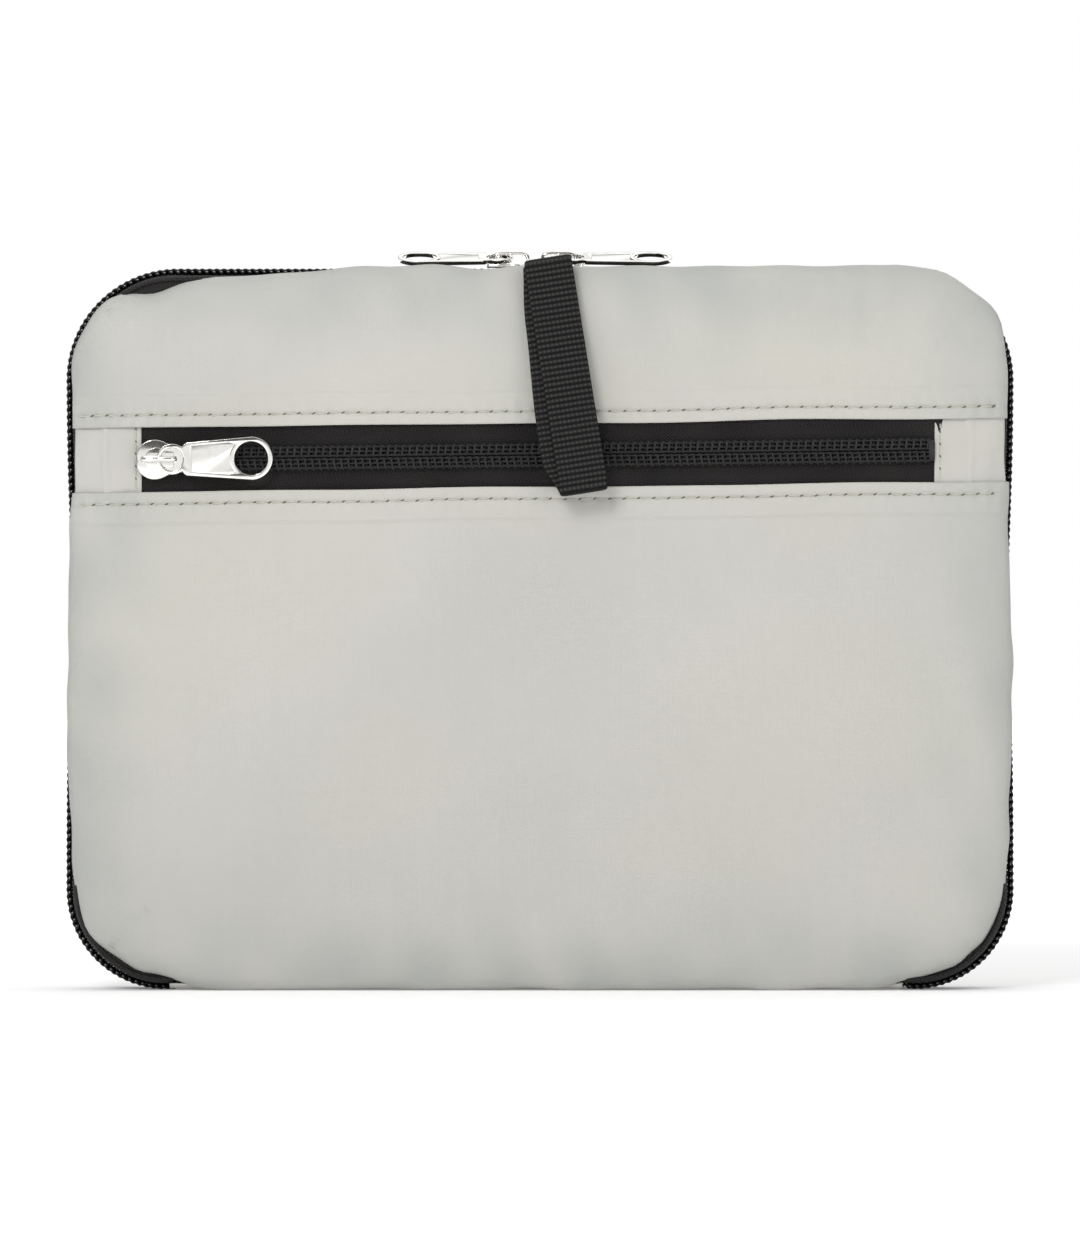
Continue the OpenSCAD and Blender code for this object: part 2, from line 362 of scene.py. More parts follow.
def plain_weave(name, light, dark, tint, crease=0.0):
    """Thin plain-weave cloth: fine yarns with upright slubs, colour that varies slowly, and painted shade
    from a point attribute, darkest near the pouch's rim.
    """
    n = Nodes(name)
    across, upward, depth = n.axis((1, 0, 0)), n.axis((0, 0, 1)), n.axis((0, 1, 0))
    side = n.math("ADD", across, depth)
    yarn = 0.42
    warp, weft = n.wave(side, yarn), n.wave(upward, yarn, 1.0)
    over = n.math("MULTIPLY", warp, n.math("SUBTRACT", 1.0, weft))
    weave = n.math("MAXIMUM", over, n.math("MULTIPLY", weft, 0.8))
    upright, level = n.noise(700, 2.0, (1, 1, 0.05)), n.noise(700, 2.0, (0.06, 0.06, 1))
    slubs = n.math("MULTIPLY_ADD", level, 0.6, upright)
    height = n.math("MULTIPLY_ADD", slubs, 0.9, weave)
    streaks = n.spread(n.noise(420, 3.0, (1, 1, 0.05)), 0.3, 0.7, -0.07, 0.07)
    cloudy = n.spread(n.noise(14, 3.0), 0.35, 0.68)
    blotch = n.spread(n.noise(9, 2.0, (1, 1, 1.7)), 0.40, 0.66)
    color = n.mix(n.math("ADD", cloudy, streaks), dark, light)
    color = n.mix(n.math("MULTIPLY", blotch, 0.7), color, tint)
    # Painted shade: the cloth is mixed towards a darker grey near the pouch's rim and in soft patches, where
    # the panels turn away from the light.
    painted_rim_shade = n.add("ShaderNodeAttribute", attribute_name="painted_rim_shade").outputs["Fac"]
    color = n.mix(painted_rim_shade, color, (0.385, 0.392, 0.372, 1))
    creases = n.noise(42, 4.0, (1, 1, 0.7))
    soft = n.bump(creases, 0.45 + crease, 0.35)
    return n.finish(
        color, n.spread(slubs, 0.5, 1.1, 0.50, 0.64), n.bump(height, 0.07, 0.55, soft),
        Sheen_Weight=0.12, Sheen_Roughness=0.4, Specular_IOR_Level=0.3,
    )


def twill(name, axis_u, axis_v, color_low, color_high):
    """Black zip tape: a herringbone of fine ribs either side of the chain."""
    n = Nodes(name)
    u, v = n.axis(axis_u), n.axis(axis_v)
    zig = n.math("PINGPONG", v, 2.6)
    ribs = n.wave(n.math("MULTIPLY_ADD", zig, 1.4, u), 0.95)
    cross = n.wave(v, 0.55)
    height = n.math("MULTIPLY_ADD", cross, 0.35, ribs)
    shade = n.mix(n.spread(n.noise(60, 3.0), 0.3, 0.7), color_low, color_high)
    color = n.mix(n.math("MULTIPLY", ribs, 0.3), shade, (0.045, 0.042, 0.041, 1))
    return n.finish(color, n.spread(ribs, 0, 1, 0.8, 0.65), n.bump(height, 0.2, 0.9),
                    Sheen_Weight=0.02, Specular_IOR_Level=0.15)


def webbing(name):
    """Black ribbed webbing. The mesh says where ribs and yarns stand up, and their crowns get a painted
    highlight.
    """
    n = Nodes(name)
    rib = n.add("ShaderNodeAttribute", attribute_name="rib").outputs["Fac"]
    yarn = n.add("ShaderNodeAttribute", attribute_name="yarn").outputs["Fac"]
    fuzz = n.noise(1400, 3.0)
    crown = n.math("POWER", rib, 3.0)
    # Painted highlight: the crowns of the ribs, more so over the yarns, are coloured lighter, as where light
    # would catch them.
    lift = n.math("MULTIPLY", crown, n.math("MULTIPLY_ADD", yarn, 0.6, 0.25))
    color = n.mix(lift, (0.0035, 0.0035, 0.0035, 1), (0.056, 0.054, 0.052, 1))
    return n.finish(color, n.spread(fuzz, 0.3, 0.7, 0.6, 0.75), n.bump(fuzz, 0.12, 0.7),
                    Sheen_Weight=0.02, Specular_IOR_Level=0.12)


def coil_plastic(name):
    n = Nodes(name)
    grain = n.noise(500, 3.0)
    color = n.mix(n.spread(grain, 0.35, 0.65), (0.008, 0.008, 0.0085, 1), (0.018, 0.018, 0.0185, 1))
    roughness = n.spread(grain, 0.3, 0.7, 0.38, 0.5)
    return n.finish(color, roughness, n.bump(grain, 0.03, 0.3), Specular_IOR_Level=0.3)


def thread(name, low, high):
    """Twisted sewing thread."""
    n = Nodes(name)
    twist = n.wave(n.math("ADD", n.axis((1, 0, 0.6)), n.axis((0, 1, 0.6))), 0.28)
    color = n.mix(twist, low, high)
    return n.finish(color, 0.75, n.bump(twist, 0.05, 0.6), Specular_IOR_Level=0.2)


def nickel(name):
    """Polished nickel plate with faint casting ripples and handling marks."""
    n = Nodes(name)
    ripples = n.noise(130, 2.0)
    smudges = n.spread(n.noise(320, 4.0), 0.4, 0.7)
    scratches = n.noise(700, 3.0, (1, 0.08, 0.4))
    color = n.mix(smudges, (0.84, 0.83, 0.80, 1), (0.77, 0.76, 0.72, 1))
    roughness = n.math("MULTIPLY_ADD", smudges, 0.05, n.spread(scratches, 0.3, 0.7, 0.05, 0.10))
    soft = n.bump(ripples, 0.1, 0.15)
    return n.finish(color, roughness, n.bump(scratches, 0.01, 0.3, soft), Metallic=1.0)


def opaque(red, green, blue):
    return (red, green, blue, 1)


SHELL = plain_weave(
    "pouch_cloth", opaque(0.497, 0.485, 0.456), opaque(0.452, 0.444, 0.420), opaque(0.478, 0.470, 0.418)
)
TOTE = plain_weave(
    "tote_cloth", opaque(0.50, 0.488, 0.458), opaque(0.44, 0.432, 0.407), opaque(0.47, 0.462, 0.41), 0.8
)
LINING = plain_weave(
    "lining_cloth", opaque(0.47, 0.46, 0.43), opaque(0.42, 0.41, 0.385), opaque(0.45, 0.44, 0.39), 0.3
)
TAPE_COLORS = opaque(0.009, 0.008, 0.008), opaque(0.017, 0.0155, 0.015)
BINDING_COLORS = opaque(0.010, 0.009, 0.009), opaque(0.018, 0.017, 0.0165)
POCKET_TAPE = twill("pocket_tape", (1, 0, POCKET_SLOPE), (-POCKET_SLOPE, 0, 1), *TAPE_COLORS)
EDGE_TAPE = twill("edge_tape", (0.7, 0, 0.7), (0, 1, 0), *TAPE_COLORS)
BINDING = twill("binding_tape", (0.7, 0, 0.7), (0, 0.7, 0.7), *BINDING_COLORS)
LOOP_TAPE = webbing("loop_webbing")
HANDLE_TAPE = webbing("handle_webbing")
COIL = coil_plastic("coil_nylon")
COIL_THREAD = thread("coil_thread", opaque(0.012, 0.012, 0.0125), opaque(0.032, 0.032, 0.032))
# Painted highlight: this pale thread colour stands in for the glint of the stitches along the perimeter
# zip's outer shoulder.
PALE_GLINT_THREAD = thread("edge_thread_painted_glint", opaque(0.26, 0.26, 0.24), opaque(0.52, 0.52, 0.48))
# Painted shadow: dark marks set between the topstitches, for the shade where the thread goes into the cloth.
STITCH_SHADOW_PAINT = thread("stitch_shadow", opaque(0.12, 0.12, 0.085), opaque(0.2, 0.195, 0.15))
SEAM_THREAD = thread("seam_thread", opaque(0.42, 0.415, 0.355), opaque(0.53, 0.52, 0.46))
NICKEL = nickel("polished_nickel")


# ---- camera, light, floor


def aim(obj, target):
    obj.rotation_euler = (Vector(target) - obj.location).to_track_quat("-Z", "Y").to_euler()


def make_camera():
    """A long lens straight in front, level with the picture's middle."""
    distance, seen_height, middle_z = 2.2, 0.3105, 0.0925
    sensor = 36
    data = bpy.data.cameras.new("camera")
    data.sensor_fit = "VERTICAL"
    data.sensor_height = sensor
    data.lens = sensor * distance / seen_height
    camera = bpy.data.objects.new("camera", data)
    camera.location = (0, -FACE_Y * MM - distance, middle_z)
    camera.rotation_euler = (math.pi / 2, 0, 0)
    bpy.context.scene.collection.objects.link(camera)
    bpy.context.scene.camera = camera


def make_area(name, location, size, power):
    """A soft lamp aimed at the bag."""
    data = bpy.data.lights.new(name, "AREA")
    data.size = size
    data.energy = power
    light = bpy.data.objects.new(name, data)
    light.location = location
    aim(light, (0, 0, 0.1))
    bpy.context.scene.collection.objects.link(light)


def make_surroundings():
    """White at the horizon and overhead, with a darker band between them for the metal to reflect."""
    world = bpy.data.worlds.new("studio")
    world.use_nodes = True
    tree = world.node_tree
    place = tree.nodes.new("ShaderNodeTexCoord")
    split = tree.nodes.new("ShaderNodeSeparateXYZ")
    band = tree.nodes.new("ShaderNodeValToRGB")
    stops = [(0.0, 1.0), (0.09, 1.0), (0.16, 0.1), (0.42, 0.1), (0.56, 0.8), (1.0, 1.0)]
    ramp_stops = band.color_ramp.elements
    for position, _ in stops[2:]:
        ramp_stops.new(position)
    for stop, (position, level) in zip(ramp_stops, stops):
        stop.position = position
        stop.color = (level, level, level, 1)
    tree.links.new(place.outputs["Generated"], split.inputs[0])
    tree.links.new(split.outputs["Z"], band.inputs["Fac"])
    tree.links.new(band.outputs["Color"], tree.nodes["Background"].inputs["Color"])
    bpy.context.scene.world = world


def make_stage():
    """A pale seamless floor that glows a little more farther out, and three soft lamps."""
    n = Nodes("floor_paper")
    grain = n.noise(300, 3.0)
    n.shader.inputs["Emission Color"].default_value = opaque(1, 1, 1)
    reach = n.add("ShaderNodeVectorMath", operation="LENGTH")
    n.link(n.place, reach.inputs[0])
    n.link(n.spread(reach.outputs["Value"], 0.35, 1.3, 0.14, 0.6), n.shader.inputs["Emission Strength"])
    white = n.mix(grain, opaque(0.90, 0.90, 0.90), opaque(0.93, 0.93, 0.93))
    paper = n.finish(white, 0.9, Specular_IOR_Level=0.0)
    size = 6000
    corners = [(-size, -size, 0), (size, -size, 0), (size, size, 0), (-size, size, 0)]
    add_mesh("floor", corners, [(0, 1, 2, 3)], paper, smooth=False)
    make_surroundings()
    bpy.context.scene.view_settings.view_transform = "Standard"
    bpy.context.scene.view_settings.look = "None"
    make_area("key", (-0.5, -1.5, 0.95), 0.55, 14.0)
    make_area("fill", (0.9, -1.2, 0.3), 0.8, 3.0)
    make_area("rim", (0.2, 0.9, 0.9), 1.2, 3.0)


# ---- pouch panels


def extra_inset(x, z):
    """How much further in the front cloth's edge sits than its nominal line."""
    side = 0.8 * bell(z - 145, 20) - 1.5 * bell(z - 88, 26) + 0.6 * bell(z - 42, 9)
    base_corner = 2.7 * ramp(-z, -40, -12) * ramp(np.abs(x), 84, 99)
    top_left = 4.4 * bell(np.hypot(x + 97, z - 177), 8) + 1.4 * bell(np.hypot(x + 82, z - 179), 12)
    top = -1.5 * ramp(z, 158, 177) * ramp(x, -62, -40) * (1 - 0.45 * bell(x + 14, 7)) * ramp(-x, -98, -88)
    chamfer = -1.9 * bell(np.hypot(x - 101, z - 180), 8) - 1.8 * bell(np.hypot(x - 114, z - 170), 7)
    base = -0.9 * ramp(-z, -9, -3) * ramp(-np.abs(x), -92, -84)
    scallop = 0.35 * ripple(x, z, 16, 21) + 0.5 * base_corner * ripple(x, z, 11, 23) / 2.5
    return side * ramp(np.abs(x), 60, 110) + base_corner + top_left + top + chamfer + base + scallop


def shape_panel(x, z, inset_of, front, seed):
    """Places panel points: pulls the edge in, crowns the cloth, and lets it ripple."""
    depth, nx, nz = inside(x, z)
    depth = np.maximum(depth - PANEL_INSET, 0)
    pull = inset_of(x, z) * np.exp(-depth / 9)
    x, z = x + nx * pull, z + nz * pull
    roll = np.minimum(depth / 13, 1)
    crown = (FACE_Y - SEAM_Y) * np.sqrt(1 - (1 - roll) ** 2)
    edge = np.exp(-depth / 16)
    around = np.where(np.abs(nx) > 0.7, z, x)
    gathers = 0.4 * np.sin(around / 2.1 + 3 * ripple(around, 0, 40, seed + 3))
    gathers = gathers * ripple(around, 3, 30, seed + 4)
    pucker = edge * (gathers + 0.75 * ripple(around, 0.3 * depth, 22, seed + 5))
    swell = 0.55 * ripple(x, z, 95, seed) + 0.22 * ripple(x, z, 34, seed + 1)
    out = SEAM_Y + crown + pucker * ramp(depth, 0, 3) + (swell - 0.5) * ramp(depth, 0, 14)
    y = -out if front else out
    return x + slack(x, z), y, z


def front_shape(x, z):
    return shape_panel(x, z, extra_inset, True, FRONT_SEED)


def paint_rim_shade(obj, x, z, seed):
    """Painted shade: darkens the cloth near the pouch's rim, where the panel turns away from the light, and
    in soft patches across it.
    """
    depth = inside(x, z)[0]
    painted_rim_shade = np.exp(-((depth / 17) ** 2)) * (0.8 + 0.35 * ripple(x, z, 24, seed))
    painted_rim_shade += 0.1 * (ripple(x, z, 60, seed + 1) - 0.3)
    values = np.clip(painted_rim_shade, 0, 1).ravel()
    obj.data.attributes.new("painted_rim_shade", "FLOAT", "POINT").data.foreach_set("value", values)


def panel_rows(z0, z1, step):
    """Heights of grid rows, closer together where the outline turns its corners."""
    rows = list(np.arange(z0, z1, step))
    turn = np.radians(np.linspace(6, 90, 16))
    low_arc = BOTTOM_R - (BOTTOM_R - PANEL_INSET) * np.sin(turn)
    high_arc = HEIGHT - TOP_R + (TOP_R - PANEL_INSET) * np.sin(turn)
    rows += [z for z in (*low_arc, *high_arc) if z0 < z < z1]
    rows = np.array(sorted(rows + [z1]))
    keep = np.concatenate([np.diff(rows) > 0.12, [True]])
    return rows[keep]


def window_line(side):
    """Offset from the pocket chain's centre line to the hem's folded edge, as a function of x."""
    return lambda x: side * WINDOW_HALF + 0.28 * ripple(x, side, 60, 31 + side) - side * 0.0012 * (x - 60)


def panel_grid(z0, z1, columns, step=2.4):
    """Grids of x and z over the pouch's face between two heights, with columns closer at the sides."""
    rows = panel_rows(z0, z1, step)
    u = np.linspace(-1, 1, columns)
    u = 0.72 * u + 0.28 * np.sin(u * math.pi / 2)
    widths = np.array([half_width(z, PANEL_INSET) for z in rows])
    x = widths[:, None] * u[None, :]
    z = np.repeat(rows[:, None], columns, 1)
    return x, z


def hem_profile(distance, x, seed):
    """How far the cloth stands out near a hem: a doubled band, then the faint edge of its allowance."""
    from_stitches = distance - STITCH_INSET
    band = 0.42 * ramp(-distance, -HEM_W - 0.4, -HEM_W + 0.4) + 0.1 * ramp(-from_stitches, -0.2, 0.4)
    groove = -0.38 * bell(from_stitches, 0.55)
    tug = 0.22 * bell(from_stitches, 2.6) * np.sin(2 * math.pi * x / STITCH_PITCH)
    gather = 0.3 * bell(distance - 1.5, 3.5) * ripple(x, 0, 11, seed)
    return band + groove + tug + gather


def front_panel(name, side, node):
    """The front panel above (side 1) or below (side -1) the pocket zip."""
    start = POCKET_Z + side * WINDOW_HALF
    end = HEIGHT - PANEL_INSET if side > 0 else PANEL_INSET
    line = window_line(side)
    hem_seed = HEM_SEED + side
    x, z = panel_grid(min(start, end), max(start, end), 260)
    share = np.abs(z - end) / abs(start - end)
    z = z + share * (x * POCKET_SLOPE + line(x) - side * WINDOW_HALF)
    distance = np.abs(z - (POCKET_Z + x * POCKET_SLOPE + line(x)))
    # Closer rows over the hem give its band and groove their shape
    fine = np.arange(0, HEM_W + 1.5, 0.45)
    beyond_hem = np.abs(z[:, x.shape[1] // 2] - start) > fine[-1] + 0.6
    hem_widths = np.array([half_width(start + side * d, PANEL_INSET) for d in fine])
    middle_row = x[len(x) // 2]
    hem_x = hem_widths[:, None] * (middle_row / middle_row.max())[None, :]
    hem_z = POCKET_Z + hem_x * POCKET_SLOPE + line(hem_x) + side * fine[:, None]
    grids = []
    for gx, gz, from_fold in ((hem_x, hem_z, fine[:, None] + 0 * hem_x), (x, z, distance)):
        px, y, pz = front_shape(gx, gz)
        grids.append(xyz(px, y - hem_profile(from_fold, gx, hem_seed), pz))
    outer = grids[1][beyond_hem]
    points = np.concatenate([grids[0], outer if side > 0 else outer[::-1]])
    obj = add_grid(name, points, SHELL)
    paint_rim_shade(obj, points[..., 0], points[..., 2], 15)
    finish_sheet(obj, CLOTH_T, "front_half", "pouch_fabric", node)


def end_tab(name, x0, x1, node, crease_x):
    """A small cloth tab that closes one end of the pocket's window, tucked under both hems."""
    across = np.linspace(x0, x1, 60)
    reach = WINDOW_HALF + 3
    x, w = np.meshgrid(across, np.linspace(-reach, reach, 30))
    z = POCKET_Z + x * POCKET_SLOPE + w
    px, y, pz = front_shape(x, z)
    inner = x1 if abs(x1) < abs(x0) else x0
    from_inner = np.abs(x - inner)
    y = y + 0.35 - 0.35 * bell(x - crease_x, 0.9) + 0.25 * bell(from_inner - 1.2, 0.5)
    y = y - 0.25 * ripple(x, z, 13, 77) * ramp(from_inner, 1, 6)
    obj = add_grid(name, xyz(px, y, pz), SHELL)
    finish_sheet(obj, CLOTH_T, "front_half", "pouch_fabric", node)


def back_panel():
    """The plain cloth of the back, its edge half as uneven as the front's."""
    x, z = panel_grid(PANEL_INSET, HEIGHT - PANEL_INSET, 150, 2.6)
    px, y, pz = shape_panel(x, z, lambda a, b: 0.5 * extra_inset(-a, b), False, 51)
    obj = add_grid("back_cloth", xyz(px, y, pz), SHELL)
    paint_rim_shade(obj, px, pz, 55)
    finish_sheet(
        obj, CLOTH_T, "back_half", "pouch_fabric", "back_panel"
    )


def bottom_gusset():
    """The cloth along the bottom that joins the halves."""
    past, reach = 3, SEAM_Y + 0.6
    across = np.linspace(HINGE_LEFT - past, HINGE_RIGHT + past, 150)
    x, y = np.meshgrid(across, np.linspace(-reach, reach, 40))
    edge = np.abs(y) / SEAM_Y
    z = 0.35 + 0.9 * edge**6 + 0.12 * (1 + ripple(x, y, 22, 61)) * (1 - edge**4)
    obj = add_grid("gusset_cloth", xyz(x, y, z), SHELL)
    thicken(obj, CLOTH_T)
    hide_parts("bottom_gusset")
    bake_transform(obj)


# ---- stitching


def stitch_row(points, directions, outward, length, radius):
    """Vertices and faces of one thread stitch at each point, along its direction."""
    vertices, faces = [], []
    rings = np.array([(-0.5, 0.35), (-0.36, 1.0), (0, 1.15), (0.36, 1.0), (0.5, 0.35)])
    sides = 6
    around = np.linspace(0, 2 * math.pi, sides, endpoint=False)
    for centre, direction in zip(points, directions):
        across = np.cross(direction, outward)
        start = len(vertices)
        for along, size in rings:
            sink = -0.18 * (abs(along) * 2) ** 3
            for a in around:
                offset = (math.cos(a) * across + math.sin(a) * outward) * radius * size
                vertices.append(centre + direction * along * length + outward * sink + offset)
        faces += tube_faces(len(rings), sides, start)
    return vertices, faces


def front_surface_y(x, z, distance, side):
    """Where the front cloth lies at one point, that far from the window's hem."""
    _, y, _ = front_shape(np.array([x]), np.array([z]))
    return float(y[0] - hem_profile(np.array([distance]), np.array([x]), HEM_SEED + side)[0])


def add_stitches(rows, points, direction, turn, length, radius):
    """Adds a row of stitches to rows, a pair of vertex and face lists."""
    wobble = [turn + 0.07 * math.sin(2.3 * i) for i in range(len(points))]
    spun = [direction * math.cos(w) + np.cross(OUTWARD, direction) * math.sin(w) for w in wobble]
    vertices, faces = stitch_row(points, spun, OUTWARD, length, radius)
    rows[1].extend([tuple(i + len(rows[0]) for i in face) for face in faces])
    rows[0].extend(vertices)


def seam_points(xs, side, lift):
    """Points on the cloth along the topstitched line beside the pocket's window."""
    points = []
    for i, x in enumerate(xs):
        hem = float(window_line(side)(np.array([x]))[0])
        z = POCKET_Z + x * POCKET_SLOPE + hem + side * STITCH_INSET
        y = front_surface_y(x, z, STITCH_INSET, side) - CLOTH_T / 2 - lift
        points.append(np.array([x + float(slack(x, z)), y, z + 0.12 * math.sin(1.9 * i)]))
    return points


def topstitch():
    """The two long rows beside the pocket zip and the short rows across its end tabs, with a dark mark
    between stitches as painted shadow.
    """
    threads, shadow_marks = ([], []), ([], [])
    along, upright = np.array([1.0, 0, ALONG_Z]), np.array([0, 0, 1.0])
    xs = np.arange(-HALF_W + 5.0, HALF_W - 5, STITCH_PITCH)
    for side in (1, -1):
        add_stitches(threads, seam_points(xs, side, 0.08), along, 0.02, 2.7, 0.2)
        # Painted shadow: a dark mark halfway between each pair of stitches.
        add_stitches(shadow_marks, seam_points(xs + STITCH_PITCH / 2, side, 0.1), along, 0.5, 1.3, 0.22)
    tab_inset, tab_pitch, clear_of_hem = 1.2, 3.1, 30
    for x in (WINDOW_LEFT - tab_inset, WINDOW_RIGHT + tab_inset):
        zs = POCKET_Z + x * POCKET_SLOPE + np.arange(-2 * tab_pitch, 7, tab_pitch)
        points = [np.array([x, front_surface_y(x, z, clear_of_hem, 1) + 0.33, z]) for z in zs]
        add_stitches(threads, points, upright, 0.0, 2.2, 0.2)
        shifted = [p + upright * tab_pitch / 2 for p in points]
        add_stitches(shadow_marks, shifted, upright, 0.4, 0.9, 0.18)
    finish_piece(add_mesh("topstitch", *threads, SEAM_THREAD), "front_half", "pouch_fabric")
    finish_piece(add_mesh("topstitch_shadow_marks", *shadow_marks, STITCH_SHADOW_PAINT), "front_half", "pouch_fabric")


# ---- pocket zip


def pocket_frame_point(x, y, w):
    """A point given along, out of and across the pocket chain, in the row frame."""
    return xyz(x - w * POCKET_SLOPE, y, POCKET_Z + x * POCKET_SLOPE + w)


POCKET_TAPE_Y = -FACE_Y + 1.0


def pocket_tape(name, side, node):
    """One tape of the pocket zip, tucked under the panel above (side 1) or below (side -1) it."""
    across = np.linspace(WINDOW_LEFT - TAPE_PAST, WINDOW_RIGHT + TAPE_PAST, 200)
    up = side * np.linspace(0.15, TAPE_REACH, 34)
    x, w = np.meshgrid(across, up)
    dip = 0.15 * ripple(x, w, 40, 81) * ramp(np.abs(w), 3, 6)
    crease = 0.09 * bell(np.abs(w) - 3.4, 0.5)
    lift = 0.02 * np.maximum(np.abs(w) - 4, 0)
    y = POCKET_TAPE_Y + 0.3 + dip + crease - lift
    obj = add_grid(name, pocket_frame_point(x, y, w), POCKET_TAPE)
    finish_sheet(obj, 0.35, "front_half", "zip_tape", node)


def tube_along(points, radius, sides=6):
    """Vertices and faces of a round tube along points, capped at both ends."""
    points = np.asarray(points, float)
    tangent = unit(np.gradient(points, axis=0))
    guide = np.array([0.31, 0.87, 0.39])  # a direction that no tube runs along
    side = unit(np.cross(tangent, guide))
    up = np.cross(side, tangent)
    turn = np.linspace(0, 2 * math.pi, sides, endpoint=False)
    radius = np.broadcast_to(radius, (len(points),))
    circle = np.cos(turn)[None, :, None] * side[:, None] + np.sin(turn)[None, :, None] * up[:, None]
    rings = points[:, None, :] + radius[:, None, None] * circle
    return rings.reshape(-1, 3), tube_faces(len(points), sides)


def coil_turns(place, length, side, name, body, slot, node):
    """One coil row: a flattened spiral of nylon, with the thread that sews it down on top.

    place(s, across, out) gives the point at s along the chain, that far across it and out of the tape.
    """
    steps = 12
    turns = int(length / COIL_PITCH)
    phi = np.arange(turns * steps + 1) * 2 * math.pi / steps
    s = phi / (2 * math.pi) * COIL_PITCH + (COIL_PITCH / 2 if side > 0 else 0)
    middle, reach = side * (CHAIN_HALF / 2 + 0.05), CHAIN_HALF / 2 - 0.15
    squared = np.sign(np.cos(phi)) * np.abs(np.cos(phi)) ** 0.6
    across = middle + side * reach * -squared
    out = 0.72 + 0.46 * np.sin(phi)
    vertices, faces = tube_along(place(s, across, out), 0.4, 6)
    coil = add_mesh(name, vertices, faces, COIL)
    finish_piece(coil, body, slot, node)
    sewn = np.arange(0, turns * COIL_PITCH, COIL_PITCH / 6)
    beat = np.cos(sewn / COIL_PITCH * 2 * math.pi)
    for row, offset in enumerate((0.42, 1.5, 2.6)):
        line = place(sewn, np.full_like(sewn, side * offset) + 0.05 * beat, 1.3 + 0.1 * beat)
        vertices, faces = tube_along(line, 0.27 + 0.05 * beat, 6)
        finish_piece(add_mesh(f"{name}_thread{row}", vertices, faces, COIL_THREAD), body, slot)


def pocket_zip():
    """Both tapes and both coil rows of the pocket zip."""
    pocket_tape("pocket_tape_above", 1, "pocket_upper_tape")
    pocket_tape("pocket_tape_below", -1, "pocket_lower_tape")
    end_gap = 1.2
    start, length = WINDOW_LEFT + end_gap, WINDOW_RIGHT - WINDOW_LEFT - 2 * end_gap

    def place(s, across, out):
        return pocket_frame_point(start + s, POCKET_TAPE_Y - out, across)

    coil_turns(place, length, 1, "pocket_coil_above", "front_half", "zip_coil", "pocket_upper_coil")
    coil_turns(place, length, -1, "pocket_coil_below", "front_half", "zip_coil", "pocket_lower_coil")


def pocket_lining():
    """The pocket's bag, behind the front panel."""
    across = np.linspace(WINDOW_LEFT - BAG_PAST, WINDOW_RIGHT + BAG_PAST, 80)
    x, w = np.meshgrid(across, np.linspace(-BAG_DROP, TAPE_REACH, 60))
    y = BAG_Y + 0.25 * ripple(x, w, 30, 91)
    obj = add_grid("pocket_bag", pocket_frame_point(x, y, w), LINING)
    finish_sheet(obj, 0.8, "front_half", "lining_fabric", "pocket_lining")


# ---- perimeter zip


def perimeter(step):
    """Points along the outline from the hinge's left end, up, over and down to its right end."""
    runs = []
    bottom_x, top_x = HALF_W - BOTTOM_R, HALF_W - TOP_R
    top_z = HEIGHT - TOP_R

    def line(a, b):
        count = max(2, int(math.dist(a, b) / step))
        runs.append(np.linspace(a, b, count, endpoint=False))

    def arc(cx, cz, r, a0, a1):
        count = int(abs(math.radians(a1 - a0)) * r / step)
        turn = np.radians(np.linspace(a0, a1, count, endpoint=False))
        runs.append(np.stack([cx + r * np.cos(turn), cz + r * np.sin(turn)], -1))

    line((HINGE_LEFT - TACK_ROOM, 0), (-bottom_x, 0))
    arc(-bottom_x, BOTTOM_R, BOTTOM_R, 270, 180)
    line((-HALF_W, BOTTOM_R), (-HALF_W, top_z))
    arc(-top_x, top_z, TOP_R, 180, 90)
    line((-top_x, HEIGHT), (top_x, HEIGHT))
    arc(top_x, top_z, TOP_R, 90, 0)
    line((HALF_W, top_z), (HALF_W, BOTTOM_R))
    arc(bottom_x, BOTTOM_R, BOTTOM_R, 0, -90)
    runs.append(np.array([(bottom_x, 0), (HINGE_RIGHT + TACK_ROOM, 0)]))
    path = np.concatenate(runs)
    return path, length_along(path)


PATH, PATH_S = perimeter(1.0)


def edge_place(s, y, inset):
    """The point at s along the perimeter, at depth y and that far inside the outline."""
    (x0, z0), (x, z), (x1, z1) = (
        [np.interp(s + ahead, PATH_S, PATH[:, i]) for i in (0, 1)] for ahead in (-0.5, 0, 0.5)
    )
    tx, tz = x1 - x0, z1 - z0
    size = np.maximum(np.hypot(tx, tz), 1e-9)
    px, pz = x + tz / size * inset, z - tx / size * inset
    return xyz(px + slack(px, pz), np.broadcast_to(y, px.shape), pz)


def edge_strip(name, profile, material, body, slot, node, wave=0.0, seed=0):
    """Sweeps a closed profile of (y, inset) points along the perimeter."""
    s = np.linspace(0, PATH_S[-1], int(PATH_S[-1] / 1.2))
    flutter = wave * ripple(s, 0, 25, seed)
    rings = np.stack([edge_place(s, y, inset + flutter) for y, inset in profile], 1)
    obj = add_mesh(name, rings.reshape(-1, 3), tube_faces(*rings.shape[:2]), material)
    finish_piece(obj, body, slot, node)


